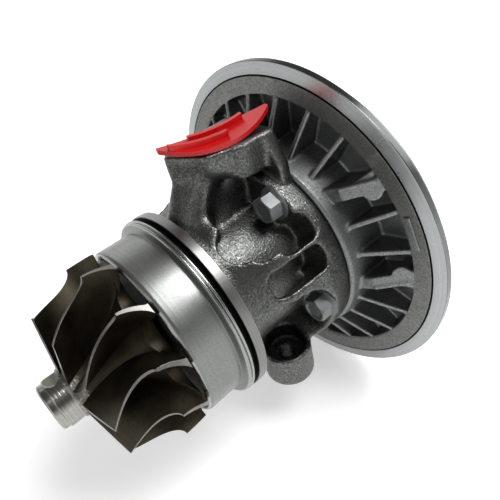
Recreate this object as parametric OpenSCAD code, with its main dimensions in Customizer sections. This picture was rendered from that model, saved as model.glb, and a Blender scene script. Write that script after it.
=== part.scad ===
// Turbo cartridge: the bearing housing, rotor and back plate of a heavy diesel turbocharger.
// Millimetres. The rotor turns about X, the turbine flange's front face is x = 0, the oil inlet points up.

/* [Turbine wheel] */
// Tip radius at the inlet
turbine_r = 47; // [46:0.5:49]
// Tip radius at the outlet
exducer_r = 38; // [35:0.5:40]
// Width of the blades at the inlet
inducer_w = 12.5; // [10:0.5:14]
// Length from the back face to the blades' outlet
turbine_l = 36; // [33:0.5:39]
// Number of blades
turbine_blades = 11; // [9:1:12]
// Thickness of the blades at their outer edge
turbine_blade_t = 1.9; // [1.4:0.1:2.4]
// Angle that the blades sweep towards the outlet
turbine_sweep = 20; // [10:1:30]
// Radius of the turned nose
nose_r = 12; // [10:0.5:13]
// Length of the turned nose
nose_l = 9; // [6:0.5:12]

/* [Compressor wheel] */
// Tip radius at the outlet
compressor_r = 49; // [45:0.5:49.5]
// Tip radius at the inlet
compressor_eye_r = 34.5; // [30:0.5:37]
// Length of the wheel
compressor_l = 39; // [36:0.5:44]
// Number of full blades, with one short blade between each pair
compressor_blades = 6; // [5:1:7]
// Width across flats of the shaft nut
nut_af = 19; // [17:1:22]

/* [Shaft and bearings] */
// Radius of the shaft in the journal bearings
shaft_r = 8; // [7:0.25:8.5]
// Radius of the shaft's stub under the thrust parts and the compressor wheel
stub_r = 6; // [5:0.25:6.5]
// Wall thickness of the journal bearings
bearing_wall = 4; // [3:0.25:4.5]
// Length of each journal bearing
bearing_l = 14; // [11:0.5:14.5]
// Thickness of the thrust bearing
thrust_t = 5; // [4:0.25:6]
// Radius of the thrust faces
thrust_r = 14.5; // [13:0.25:15]
// Radial running clearance of the journal bearings, inside and outside
bearing_clear = 0.05; // [0.03:0.01:0.08]
// Axial clearance at each thrust face
thrust_gap = 0.1; // [0.05:0.01:0.15]

/* [Bearing housing] */
// Radius of the turbine flange
flange_r = 51; // [50:0.25:53]
// Thickness of the turbine flange
flange_t = 4.6; // [3.5:0.1:6]
// Width of the groove between the heat shield and the flange
groove_w = 2.7; // [2:0.1:3.5]
// Length from the turbine flange to the joint with the back plate
housing_l = 60; // [59:0.25:62]
// Radius of the barrel
barrel_r = 54; // [53:0.25:56]
// Radius of the core that the pockets leave standing
core_r = 37; // [35:0.25:38.5]
// Height of the oil inlet's face above the rotor axis
port_z = 74; // [72:0.5:78]
// Radius of the oil inlet
port_r = 8; // [6.5:0.25:8.5]
// Depth of the drain flange's face below the rotor axis
drain_z = 60; // [58:0.5:64]
// Radius of the oil drain
drain_r = 12; // [9:0.25:13]
// Distance between the two threaded holes of the drain flange
drain_pitch = 58; // [54:0.5:62]

/* [Heat shield] */
// Outer radius of the cup
cup_r = 46; // [45.5:0.1:46.5]
// Thickness of the sheet
sheet_t = 1.6; // [1.2:0.1:2]

/* [Back plate] */
// Outer radius of the rim
plate_r = 95; // [93:0.5:98]
// Width of the rim
rim_w = 4.2; // [3.6:0.2:5]
// Inner radius of the flat ring
ring_r = 79; // [76:0.5:80]
// Number of radial ribs
rib_count = 24; // [20:1:28]
// Thickness of the ribs
rib_t = 2.6; // [2:0.1:3.4]
// Radius of the pilot that enters the compressor cover
pilot_r = 89; // [87:0.25:90]

/* [Bolts and seals] */
// Radius of the bolt circle
bolt_circle_r = 48.5; // [47.5:0.25:49]
// Thread radius of the bolts
bolt_r = 4; // [3:0.25:4.25]
// Width across flats of the bolt heads
bolt_af = 12; // [10:0.5:13]
// Radius of the cross-section of the O-rings
cord_r = 1.5; // [1.2:0.05:1.7]

/* [Port plug] */
// Thickness of the plug's flange
plug_t = 2; // [1.6:0.1:2.6]
// Radius to which the flange is bent
plug_bend_r = 74; // [60:2:120]

/* [Hidden] */
$fn = 72;

// Clearances: clamped and located parts, parts that pass a bore, and cuts that run past a face
fit = 0.02;
slide = 0.08;
clear = 0.3;
past = 1;

// Turbine end, from the wheel's nose to the shaft
wheel_back_x = -26.6;
outlet_x = wheel_back_x - turbine_l;
hub_end_r = 13.5;
hub_end_x = outlet_x - 4.5;
neck_l = 1.6;
nose_x = hub_end_x - neck_l - nose_l;
vertex_x = wheel_back_x - 0.387 * turbine_l;
disc_r = turbine_r - 3;
boss_r = 13;
boss_end_x = -8;
turbine_phase = -3.2;
scallop_c = 0.86 * turbine_r;
scallop_r = scallop_c * sin(180 / turbine_blades) - 0.6 * turbine_blade_t;

// Piston-ring seals: width of the ring, of its groove, and the groove's depth
seal_w = 1.8;
seal_groove_w = 2.2;
seal_depth = 2;
seal_lap = 0.4;
turbine_seal_x = -14;

// Bearings and thrust parts along the bore
bearing_r = shaft_r + bearing_clear + bearing_wall;
bore_r = bearing_r + bearing_clear;
ring_t = 1.2;
ring_lap = 1.2;
ring_slack = 0.2;
ring_gap = 5;
first_bearing_x = 4;
second_bearing_x = housing_l - 27;
thrust_x = housing_l - 8;
shoulder_x = thrust_x - 3.4;
thrust_end_x = thrust_x + thrust_t;
collar_end_x = housing_l - 0.4;
sleeve_r = 10.6;
thrust_body_r = 26;
pin_r = 2;
pin_place_r = 20.5;
pin_l = 9;

// Joint between the housing and the back plate, and the parts behind it
seal_bed_r = 32;
seal_bed_x = housing_l + 10;
seal_bore_r = 11.2;
slinger_r = 10.9;
slinger_flange_r = 16;
seal_boss_r = 20;
seal_boss_x = housing_l + 14;
second_seal_x = housing_l + 9;
face_cord_r = 1.2;
face_groove_r = 39.5;
rim_x = housing_l + 16.6;
ring_x = rim_x - 0.6;
floor_x = rim_x + 7.4;
plate_end_x = rim_x + 11.4;
recess_x = plate_end_x - 3.8;
plate_hub_r = 56;
cover_groove_x = plate_end_x - 4;
lug_turn = 70.5;
lug_r = 4;
lug_near_y = 21;
lug_far_y = 27.7;
lug_root_z = plate_hub_r - 10;
lug_bend_x = housing_l + 7;
lug_bend_z = plate_hub_r + 2.5;
lug_pad_z = ring_r - 8.2;
lug_end_z = ring_r - 2.2;
ridge_w = 1.5;
ridge_h = 0.9;
pad_l = 17;
pad_w = 4;

// Compressor end of the rotor
wheel_x = recess_x + 0.3;
wheel_disc_x = wheel_x + 0.7;
wheel_front_x = wheel_disc_x + 2.8;
wheel_end_x = wheel_x + compressor_l;
wheel_hub_r = 10.5;
wheel_outlet_w = 6;
blade_set = 7;
nut_l = 9;
shaft_end_x = wheel_end_x + nut_l + 3;

// Bolts sit in the pockets of the barrel, at these angles from the inlet
bolt_angles = [30, 100, 260, 330];
bolt_seat_x = housing_l - 12;
bolt_reach = 14;
head_h = 7;
head_flange_r = 8.5;
head_flange_t = 1.6;

// Inlet boss on its column, and drain flange
boss_x = housing_l / 2 - 3.5;
boss_tip_r = 12.5;
boss_h = 12;
boss_far_y = 13.2;
boss_near_y = -19.5;
boss_wall_x = housing_l - 7;
boss_wall_w = 52;
drum_x = boss_x + 17.5;
drum_r = 14;
drum_h = 17;
port_x = boss_x + 12.5;
port_y = -4;
column_r = 12.5;
column_lean = 30;
column_foot_x = 14.2;
column_foot_z = 36;
column_l = 34;
scoop_r = 15.7;
scoop_x = 8;
scoop_y = 21.7;
spine_w = 13;
drain_x = 32;
drain_t = 15;
lobe_r = 14;
lobe_h = 21;

// Plug in the inlet
skirt_l = 12;
skirt_wall = 1.6;
plug_l = 56.8;
plug_w = 20;
plug_x = port_x - 1.1;
plug_y = port_y - 1.4;
plug_round_r = (pow(plug_l, 2) + pow(plug_w, 2)) / (4 * plug_w);
plug_low_x = -0.5;
plug_turn = -14;
bar_h = 2.5;
bar_t = 2.4;
bar_l = 27;
near_bar = [-22.6, -4];
far_bar = [-11.4, 3.5];

// Solid turned about the rotor axis from points [radius, x]
module spin(points) {
    rotate([0, 90, 0])
        rotate_extrude()
            polygon(points);
}

// Round bar along the rotor axis from x0 to x1
module rod(r, x0, x1) {
    translate([x0, 0, 0])
        rotate([0, 90, 0])
            cylinder(r = r, h = x1 - x0);
}

// Ring about the rotor axis from x0 to x1
module band(outer, inner, x0, x1) {
    difference() {
        rod(outer, x0, x1);
        rod(inner, x0 - past, x1 + past);
    }
}

// Ring of round section about the rotor axis, centred at radius r and station x
module cord_ring(r, x, section) {
    translate([x, 0, 0])
        rotate([0, 90, 0])
            rotate_extrude()
                translate([r, 0])
                    circle(r = section);
}

// Children placed at radius r and angle a, measured from the inlet
module at(a, r) {
    rotate([a, 0, 0])
        translate([0, 0, r])
            children();
}

// Split ring with a gap at its top
module split_ring(outer, inner, x0, x1, gap) {
    difference() {
        band(outer, inner, x0, x1);
        translate([x0 - past, -gap / 2, 0])
            cube([x1 - x0 + 2 * past, gap, outer + past]);
    }
}

// Hexagonal bar along X
module hex(af, x0, x1) {
    translate([x0, 0, 0])
        rotate([0, 90, 0])
            cylinder(r = af / sqrt(3), h = x1 - x0, $fn = 6);
}

// Upright block with rounded corners, from x0 to x1 and w wide, standing on the plane below it
module block(x0, x1, w, corner, h) {
    linear_extrude(height = h)
        union() {
            translate([x0, corner - w / 2])
                square([x1 - x0, w - 2 * corner]);
            translate([x0 + corner, -w / 2])
                square([x1 - x0 - 2 * corner, w]);
            for (x = [x0 + corner, x1 - corner])
                for (y = [corner - w / 2, w / 2 - corner])
                    translate([x, y])
                        circle(r = corner);
        }
}

// Cut with rounded corners that points outwards at angle a, w wide and from x0 to x1
module pocket(a, w, x0, x1, corner) {
    at(a, core_r - 8)
        block(x0, x1, w, corner, barrel_r);
}

function lerp(a, b, f) = a + (b - a) * f;

// Quarter ellipse of a wheel's flow path: radial at the tip end p0, axial at the eye end p1, both [x, radius]
function flow(p0, p1, f) = [
    lerp(p1[0], p0[0], cos(90 * f)),
    lerp(p0[1], p1[1], sin(90 * f))
];

// Stations of the same path as [radius, x], for a turned hub
function hub_line(p0, p1, steps) = [
    for (i = [0 : steps])
        let (p = flow(p0, p1, i / steps))
            [p[1], p[0]]
];

// Blade between a root path and a tip path: wrap gives its angle at [x, radius], reach the share of the path
module blade(root, tip, root_t, tip_t, wrap, reach = 1) {
    along = 8;
    across = 3;
    row = across + 1;
    count = (along + 1) * row;
    turn = sign(root[0][0] - root[1][0]);
    points = [
        for (side = [turn, -turn])
            for (i = [0 : along])
                for (j = [0 : across])
                    let (
                        p = lerp(flow(root[0], root[1], reach * i / along),
                                 flow(tip[0], tip[1], reach * i / along), j / across),
                        t = lerp(root_t, tip_t, j / across),
                        a = wrap(p[0], p[1]) + side * t / 2 / p[1] * 180 / PI
                    )
                        [p[0], -p[1] * sin(a), p[1] * cos(a)]
    ];
    faces = [
        for (i = [0 : along - 1])
            for (j = [0 : across - 1])
                let (k = i * row + j)
                    each [
                        [k, k + row, k + row + 1], [k, k + row + 1, k + 1],
                        [count + k, count + k + row + 1, count + k + row],
                        [count + k, count + k + 1, count + k + row + 1]
                    ],
        for (i = [0 : along - 1])
            let (k = i * row, m = k + across)
                each [
                    [k, count + k, count + k + row], [k, count + k + row, k + row],
                    [m, m + row, count + m + row], [m, count + m + row, count + m]
                ],
        for (j = [0 : across - 1])
            let (m = along * row + j)
                each [
                    [j, j + 1, count + j + 1], [j, count + j + 1, count + j],
                    [m, count + m, count + m + 1], [m, count + m + 1, m + 1]
                ]
    ];
    polyhedron(points, faces);
}

// Pockets of the barrel on one side of the housing
module side_pockets() {
    seat_x = bolt_seat_x - 0.6;
    pocket(27, 44, 20, seat_x, 6);
    pocket(36, 19, 11.5, 40, 9);
    pocket(49.5, 14, 32, seat_x + 5, 5);
    pocket(66.5, 13, 20, seat_x + 3, 4.2);
    pocket(110, 54, 9, seat_x, 14);
}

// Outside of the bearing housing, without its bores
module housing_shell() {
    neck_r = flange_r - 6;
    difference() {
        spin([
            [0, -18], [22, -18], [30, -groove_w - 3.5], [cup_r - sheet_t - slide, -groove_w - 3.5],
            [cup_r - sheet_t - slide, -groove_w], [flange_r - 3.5, -groove_w], [flange_r - 3.5, 0],
            [flange_r, 0], [flange_r, flange_t], [neck_r, flange_t], [neck_r, 9],
            [barrel_r - 1, 27], [barrel_r, 40], [barrel_r + 1, bolt_seat_x - 1], [barrel_r + 1, housing_l],
            [0, housing_l]
        ]);
        side_pockets();
        mirror([0, 1, 0])
            side_pockets();
    }
    rod(core_r, flange_t, housing_l);
    inlet_column();
    drain_foot();
}

// Oil inlet: boss, leaning column at its turbine end, spine under it and wall on the back plate's side
module inlet_column() {
    end_x = housing_l - 0.4;
    translate([0, 0, port_z - boss_h])
        linear_extrude(height = boss_h)
            union() {
                translate([boss_x, 0])
                    circle(r = boss_tip_r);
                translate([drum_x, boss_near_y + drum_r])
                    circle(r = drum_r);
                polygon([
                    [boss_x - 4.3, -11.2], [drum_x, boss_near_y], [end_x, boss_near_y],
                    [end_x, boss_far_y], [drum_x, boss_far_y], [boss_x, boss_tip_r - 0.3]
                ]);
            }
    translate([0, 0, port_z - drum_h])
        linear_extrude(height = drum_h - 1)
            union() {
                translate([drum_x, boss_near_y + drum_r])
                    circle(r = drum_r - 0.3);
                translate([drum_x, boss_near_y + 0.3])
                    square([end_x - 0.3 - drum_x, boss_far_y - boss_near_y - 0.6]);
            }
    leaning_column();
    translate([boss_x, -spine_w / 2, core_r - 7])
        cube([end_x - boss_x, spine_w, port_z - boss_h / 2 - core_r + 7]);
    translate([boss_wall_x, 0, 0])
        rotate([90, 0, 90])
            linear_extrude(height = end_x - boss_wall_x)
                polygon([
                    [-boss_wall_w / 2, core_r], [boss_wall_w / 2, core_r], [boss_wall_w / 2, port_z - 16],
                    [boss_far_y, port_z - 1], [boss_near_y, port_z - 1], [-boss_wall_w / 2, port_z - 16]
                ]);
}

// Round front of the inlet column, scooped out behind on both sides
module leaning_column() {
    translate([column_foot_x, 0, column_foot_z])
        rotate([0, column_lean, 0])
            difference() {
                cylinder(r = column_r, h = column_l);
                for (side = [-1, 1])
                    translate([scoop_x, side * scoop_y, -past])
                        cylinder(r = scoop_r, h = column_l + 2 * past);
            }
}

// Column, flange and lobes of the oil drain
module drain_foot() {
    translate([0, 14, 0])
        rotate([90, 0, 0])
            linear_extrude(height = 28)
                polygon([[14, -30], [17, -drain_z], [46, -drain_z], [51, -30]]);
    translate([drain_x, 0, -drain_z]) {
        cylinder(r = 18, h = drain_t);
        translate([-11, -drain_pitch / 2, 0])
            cube([22, drain_pitch, drain_t]);
        for (side = [-1, 1])
            translate([0, side * drain_pitch / 2, 0])
                cylinder(r = lobe_r, h = lobe_h);
    }
}

module bearing_housing() {
    color("dimgray")
        difference() {
            housing_shell();
            rod(boss_r + clear, -18 - past, boss_end_x + past);
            rod(16, boss_end_x, 1);
            rod(bore_r, 0, shoulder_x);
            for (x = retaining_x())
                rod(bore_r + ring_lap + slide, x - slide, x + ring_t + slide);
            rod(thrust_r + 0.8, shoulder_x - 0.6, thrust_x + past);
            rod(thrust_body_r, thrust_x, housing_l + past);
            for (side = [-1, 1])
                translate([0, side * pin_place_r, 0])
                    rod(pin_r, thrust_end_x - 0.5 - pin_l, housing_l);
            for (a = bolt_angles)
                at(a, bolt_circle_r) {
                    rod(bolt_r + 0.5, bolt_seat_x - past, housing_l + past);
                    rod(head_flange_r + 1.2, bolt_seat_x - 14, bolt_seat_x);
                }
            oilways();
            for (side = [-1, 1])
                translate([drain_x, side * drain_pitch / 2, -drain_z - past]) {
                    cylinder(r = bolt_r, h = 2 * drain_t);
                    translate([0, 0, drain_t])
                        cylinder(r = 10.5, h = drain_t);
                }
        }
}

// Inlet, its two drilled feeds to the bearings, and the drain
module oilways() {
    feed_z = port_z - 17;
    translate([port_x, port_y, feed_z])
        cylinder(r = port_r, h = port_z);
    for (x = [first_bearing_x + bearing_l / 2, second_bearing_x + bearing_l / 2])
        let (run = [x - port_x, 4 - feed_z])
            translate([port_x, 0, feed_z + 2])
                rotate([0, atan2(run[0], run[1]), 0])
                    cylinder(r = 2, h = norm(run));
    translate([drain_x, 0, -drain_z - past])
        cylinder(r = drain_r, h = drain_z - 28);
    translate([(first_bearing_x + bearing_l + second_bearing_x) / 2, 0, -36])
        cylinder(r = 5, h = 34);
}

module heat_shield() {
    lip_r = flange_r - 0.2;
    front_x = wheel_back_x + 0.8;
    hole_r = boss_r + 3;
    color("silver")
        spin([
            [cup_r - sheet_t, -groove_w], [lip_r, -groove_w], [lip_r, -groove_w - 1.2],
            [lip_r - 0.5, -groove_w - sheet_t], [cup_r + 1.6, -groove_w - sheet_t - 0.4],
            [cup_r + 0.4, -groove_w - sheet_t - 1.4], [cup_r, -groove_w - sheet_t - 3],
            [cup_r, front_x + 4.4], [cup_r - 0.4, front_x + 4],
            for (a = [0 : 22.5 : 90])
                [cup_r - 2.9 + 2.5 * cos(a), front_x + 2.5 - 2.5 * sin(a)],
            [hole_r, front_x], [hole_r, front_x + sheet_t],
            [cup_r - 3.6, front_x + sheet_t], [cup_r - 2.6, front_x + sheet_t + 1.2],
            [cup_r - sheet_t - 0.4, front_x + 6], [cup_r - sheet_t, front_x + 7]
        ]);
}

module turbine_wheel() {
    hub = [[wheel_back_x - 2, disc_r], [hub_end_x, hub_end_r]];
    root = [[wheel_back_x - 0.1, turbine_r], [hub_end_x + 0.4, hub_end_r - 1.5]];
    tip = [[wheel_back_x - inducer_w, turbine_r], [outlet_x, exducer_r]];
    wrap = function (x, r) turbine_sweep * pow((x - vertex_x) / (outlet_x - vertex_x), 2);
    color("darkslategray")
        rotate([turbine_phase, 0, 0]) {
            difference() {
                spin(concat(
                    [[0, boss_end_x], [boss_r, boss_end_x], [boss_r, wheel_back_x + 2.5],
                     [boss_r + 2.5, wheel_back_x], [disc_r, wheel_back_x]],
                    hub_line(hub[0], hub[1], 10),
                    [[nose_r - 1.2, hub_end_x - 0.6], [nose_r - 1.2, hub_end_x - neck_l],
                     [nose_r, hub_end_x - neck_l - 0.4], [nose_r, nose_x + 0.8], [nose_r - 0.8, nose_x],
                     [0, nose_x]]
                ));
                for (k = [0 : turbine_blades - 1])
                    at((k + 0.5) * 360 / turbine_blades + turbine_sweep * 0.3, scallop_c)
                        rod(scallop_r, wheel_back_x - turbine_r, wheel_back_x + past);
                band(boss_r + past, boss_r - seal_depth, turbine_seal_x, turbine_seal_x + seal_groove_w);
                at(-40, nose_r - 1)
                    translate([nose_x - past, -8, 0])
                        cube([past + 6, 16, 4]);
            }
            for (k = [0 : turbine_blades - 1])
                rotate([k * 360 / turbine_blades, 0, 0])
                    blade(root, tip, 2 * turbine_blade_t, turbine_blade_t, wrap);
        }
}

module rotor_shaft() {
    color("lightsteelblue")
        spin([
            [0, boss_end_x], [shaft_r, boss_end_x], [shaft_r, shoulder_x], [stub_r, shoulder_x],
            [stub_r, shaft_end_x - 1], [stub_r - 1, shaft_end_x], [0, shaft_end_x]
        ]);
}

module turbine_seal_ring() {
    x0 = turbine_seal_x + (seal_groove_w - seal_w) / 2;
    color("gray")
        split_ring(boss_r + clear, boss_r - seal_depth + seal_lap, x0, x0 + seal_w, 0.6);
}

// Floating bush with oil holes, its turbine end at x0
module journal_bearing(x0) {
    color("goldenrod")
        difference() {
            band(bearing_r, shaft_r + bearing_clear, x0, x0 + bearing_l);
            for (a = [0 : 60 : 300])
                at(a, 0)
                    translate([x0 + bearing_l / 2, 0, 0])
                        cylinder(r = 1.5, h = bearing_r + past, $fn = 24);
        }
}

module turbine_journal_bearing() {
    journal_bearing(first_bearing_x);
}

module compressor_journal_bearing() {
    journal_bearing(second_bearing_x);
}

// Turbine ends of the three retaining rings
function retaining_x() = [
    first_bearing_x - ring_slack - ring_t,
    first_bearing_x + bearing_l + ring_slack,
    second_bearing_x - ring_slack - ring_t
];

module bearing_retaining_rings() {
    color("darkgray")
        for (x = retaining_x())
            split_ring(bore_r + ring_lap, bore_r - ring_lap, x, x + ring_t, ring_gap);
}

module thrust_ring() {
    color("lightgray")
        band(thrust_r, stub_r + fit, shoulder_x, thrust_x - thrust_gap);
}

module thrust_bearing() {
    color("goldenrod")
        difference() {
            band(thrust_body_r - fit, sleeve_r + clear, thrust_x, thrust_end_x);
            for (side = [-1, 1])
                translate([0, side * pin_place_r, 0])
                    rod(pin_r + fit, thrust_x - past, thrust_end_x + past);
            for (a = [0 : 90 : 270])
                at(a + 45, (sleeve_r + thrust_r) / 2)
                    rod(0.8, thrust_x - past, thrust_end_x + past, $fn = 24);
        }
}

module thrust_pins() {
    color("lightgray")
        for (side = [-1, 1])
            translate([0, side * pin_place_r, 0])
                rod(pin_r, thrust_end_x - 0.5 - pin_l, thrust_end_x - 0.5);
}

module thrust_collar() {
    color("lightgray")
        difference() {
            spin([
                [0, thrust_x - thrust_gap], [sleeve_r, thrust_x - thrust_gap],
                [sleeve_r, thrust_end_x + thrust_gap], [thrust_r, thrust_end_x + thrust_gap],
                [thrust_r, collar_end_x], [0, collar_end_x]
            ]);
            rod(stub_r + fit, thrust_x - past, housing_l + past);
        }
}

module oil_baffle() {
    outer = thrust_body_r - fit;
    color("darkgray")
        spin([
            [thrust_r + 0.8, housing_l - 1.2], [outer - 2, housing_l - 1.2], [outer - 2, thrust_end_x],
            [outer, thrust_end_x], [outer, housing_l], [thrust_r + 0.8, housing_l]
        ]);
}

module oil_slinger() {
    color("lightgray")
        difference() {
            spin([
                [0, collar_end_x], [slinger_r, collar_end_x], [slinger_r, housing_l + 1.2],
                [slinger_flange_r, housing_l + 1.2], [slinger_flange_r, housing_l + 2.8],
                [slinger_r, housing_l + 3.6], [slinger_r, wheel_x], [0, wheel_x]
            ]);
            rod(stub_r + fit, collar_end_x - past, wheel_x + past);
            band(slinger_r + past, slinger_r - seal_depth, second_seal_x, second_seal_x + seal_groove_w);
        }
}

module compressor_seal_ring() {
    x0 = second_seal_x + (seal_groove_w - seal_w) / 2;
    color("gray")
        split_ring(seal_bore_r, slinger_r - seal_depth + seal_lap, x0, x0 + seal_w, 0.6);
}

module seal_plate() {
    groove_x = housing_l + 5;
    color("lightslategray")
        difference() {
            spin([
                [slinger_flange_r + 2, housing_l], [seal_bed_r - slide, housing_l],
                [seal_bed_r - slide, seal_bed_x], [seal_boss_r, seal_bed_x], [seal_boss_r, seal_boss_x],
                [seal_bore_r, seal_boss_x], [seal_bore_r, housing_l + 4.6],
                [slinger_flange_r + 2, housing_l + 4.6]
            ]);
            band(seal_bed_r + past, seal_bed_r - 2 * cord_r, groove_x - cord_r - 0.2, groove_x + cord_r + 0.2);
        }
}

module seal_plate_o_ring() {
    color("black")
        cord_ring(seal_bed_r - cord_r, housing_l + 5, cord_r);
}

module joint_o_ring() {
    color("black")
        cord_ring(face_groove_r, housing_l + face_cord_r, face_cord_r);
}

// Blank of the back plate: hub, floor, ring, rim and pilot
module plate_blank() {
    flank_r = plate_r - 5;
    spin([
        [seal_bed_r, housing_l], [plate_hub_r - 1, housing_l], [plate_hub_r, housing_l + 1],
        [plate_hub_r + 2.5, floor_x], [ring_r - 1.5, floor_x], [ring_r, ring_x], [flank_r - 0.8, ring_x],
        [flank_r, rim_x + 0.3], [plate_r, rim_x], [plate_r, rim_x + rim_w - 0.5],
        [plate_r - 0.5, rim_x + rim_w], [pilot_r, rim_x + rim_w], [pilot_r, plate_end_x],
        [compressor_r + 1.5, plate_end_x], [compressor_r + 1.5, recess_x], [seal_boss_r + 4, recess_x],
        [seal_boss_r + 4, seal_bed_x], [seal_bed_r, seal_bed_x]
    ]);
}

module back_plate() {
    color("gainsboro")
        difference() {
            union() {
                plate_blank();
                for (k = [0 : rib_count - 1])
                    rotate([3 + k * 360 / rib_count, 0, 0])
                        plate_rib(rib_t, housing_l + 5.4, ring_x + 0.8);
                for (a = [lug_turn, lug_turn + 180])
                    rotate([a, 0, 0]) {
                        plate_lug();
                        mirror([0, 1, 0])
                            plate_lug();
                    }
                at(lug_turn, ring_r + 1.3)
                    translate([ring_x - 0.8, -pad_l / 2, 0])
                        cube([3, pad_l, pad_w]);
            }
            band(face_groove_r + face_cord_r, face_groove_r - face_cord_r,
                 housing_l - past, housing_l + 2 * face_cord_r);
            band(pilot_r + past, pilot_r - 2 * cord_r,
                 cover_groove_x - cord_r - 0.2, cover_groove_x + cord_r + 0.2);
            for (a = bolt_angles)
                at(a, bolt_circle_r)
                    rod(bolt_r + fit, housing_l - past, housing_l + bolt_reach + 2);
        }
}

// Upright plate between two y values, its outline given as points (x, z)
module upright(points, y0, y1) {
    translate([0, y1, 0])
        rotate([90, 0, 0])
            linear_extrude(height = y1 - y0)
                polygon(points);
}

// Plate of thickness t standing on the floor, its front edge at hub_x by the hub and end_x by the ring
module plate_rib(t, hub_x, end_x) {
    upright([
        [hub_x, plate_hub_r - 1], [end_x, ring_r + 0.5],
        [floor_x + 1, ring_r - 1], [floor_x + 1, plate_hub_r - 1]
    ], -t / 2, t / 2);
}

// Gusset beside the middle of its pair: flat by the hub, sloping to the ring, with a round pad and a ridge
module plate_lug() {
    foot_x = floor_x + 1;
    end_x = ring_x + 0.9;
    stop_z = lug_end_z - 3;
    stop_x = end_x - 3 * (end_x - lug_bend_x) / (lug_end_z - lug_bend_z);
    intersection() {
        upright([
            [lug_bend_x - 2, lug_root_z], [lug_bend_x, lug_bend_z], [end_x, lug_end_z],
            [foot_x, lug_end_z], [foot_x, lug_root_z]
        ], lug_near_y - lug_r, lug_far_y);
        union() {
            rotate([90, 0, 90])
                linear_extrude(height = foot_x)
                    translate([lug_near_y, 0])
                        square([lug_far_y - lug_near_y + past, lug_end_z + past]);
            translate([0, lug_near_y + 0.6, lug_pad_z])
                rod(lug_r, housing_l, foot_x);
        }
    }
    upright([
        [lug_bend_x - ridge_h, lug_bend_z], [stop_x - ridge_h, stop_z],
        [stop_x + 1, stop_z], [lug_bend_x + 1, lug_bend_z]
    ], lug_far_y - ridge_w - 0.2, lug_far_y - 0.2);
}

module back_plate_bolts() {
    color("whitesmoke")
        for (a = bolt_angles)
            at(a, bolt_circle_r) {
                rod(bolt_r, bolt_seat_x - past, housing_l + bolt_reach);
                rod(head_flange_r, bolt_seat_x - head_flange_t, bolt_seat_x);
                difference() {
                    hex(bolt_af, bolt_seat_x - head_flange_t - head_h, bolt_seat_x - head_flange_t);
                    rod(bolt_af / 2 - 2, bolt_seat_x - head_flange_t - head_h - past,
                        bolt_seat_x - head_flange_t - head_h + 0.4);
                }
            }
}

module cover_o_ring() {
    color("black")
        cord_ring(pilot_r - cord_r, cover_groove_x, cord_r);
}

module compressor_wheel() {
    hub = [[wheel_front_x, compressor_r], [wheel_end_x - 3, wheel_hub_r]];
    root = [[wheel_front_x - 1, compressor_r - 0.1], [wheel_end_x - blade_set + 1, wheel_hub_r - 1.5]];
    tip = [[wheel_front_x + wheel_outlet_w, compressor_r - 0.1], [wheel_end_x - blade_set, compressor_eye_r]];
    wrap = function (x, r)
        40 * pow((x - wheel_front_x) / compressor_l, 2) - 22 * pow(max(0, r - 28) / 21, 2);
    color("lightgray")
        difference() {
            union() {
                spin(concat(
                    [[0, wheel_x], [12, wheel_x], [14, wheel_disc_x], [compressor_r, wheel_disc_x]],
                    hub_line(hub[0], hub[1], 10),
                    [[wheel_hub_r, wheel_end_x], [0, wheel_end_x]]
                ));
                for (k = [0 : compressor_blades - 1])
                    rotate([k * 360 / compressor_blades, 0, 0]) {
                        blade(root, tip, 2.2, 0.9, wrap);
                        rotate([180 / compressor_blades, 0, 0])
                            blade(root, tip, 2.2, 0.9, wrap, 0.7);
                    }
            }
            rod(stub_r + fit, wheel_x - past, wheel_end_x + past);
        }
}

module compressor_nut() {
    color("darkgray")
        difference() {
            union() {
                hex(nut_af, wheel_end_x + 2, wheel_end_x + nut_l);
                rod(nut_af / 2 - 0.2, wheel_end_x, wheel_end_x + 2.5);
            }
            rod(stub_r + fit, wheel_end_x - past, shaft_end_x + past);
        }
}

// Bent sheet between two heights above the plug's flange
module bent(low, high) {
    translate([plug_low_x, 0, plug_bend_r])
        rotate([90, 0, 0])
            difference() {
                cylinder(r = plug_bend_r - low, h = 80, center = true);
                cylinder(r = plug_bend_r - high, h = 80 + past, center = true);
            }
}

module port_plug() {
    color("red")
        translate([plug_x, plug_y, port_z])
            rotate([0, 0, plug_turn]) {
                intersection() {
                    bent(0, plug_t);
                    translate([0, plug_round_r - plug_w / 2, -past])
                        cylinder(r = plug_round_r, h = 30);
                    translate([0, plug_w / 2 - plug_round_r, -past])
                        cylinder(r = plug_round_r, h = 30);
                    translate([0, 0, -past])
                        cylinder(r = plug_l / 2 - 1.5, h = 30);
                }
                intersection() {
                    bent(plug_t / 2, plug_t + bar_h);
                    for (bar = [near_bar, far_bar])
                        translate([bar[0], bar[1], 0])
                            cube([bar_l, bar_t, 30]);
                }
            }
    color("red")
        difference() {
            translate([port_x, port_y, port_z - skirt_l])
                cylinder(r = port_r - slide, h = skirt_l + 8);
            translate([port_x, port_y, port_z - skirt_l - past])
                cylinder(r = port_r - slide - skirt_wall, h = skirt_l + 10);
            translate([plug_x, plug_y, port_z])
                rotate([0, 0, plug_turn])
                    translate([plug_low_x, 0, plug_bend_r])
                        rotate([90, 0, 0])
                            cylinder(r = plug_bend_r - plug_t / 2, h = 80, center = true);
        }
}

bearing_housing();
heat_shield();
turbine_wheel();
rotor_shaft();
turbine_seal_ring();
turbine_journal_bearing();
compressor_journal_bearing();
bearing_retaining_rings();
thrust_ring();
thrust_bearing();
thrust_pins();
thrust_collar();
oil_baffle();
oil_slinger();
compressor_seal_ring();
seal_plate();
seal_plate_o_ring();
joint_o_ring();
back_plate();
back_plate_bolts();
cover_o_ring();
compressor_wheel();
compressor_nut();
port_plug();
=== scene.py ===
import bmesh
import bpy
import numpy as np
from mathutils import Matrix, Vector


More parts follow.
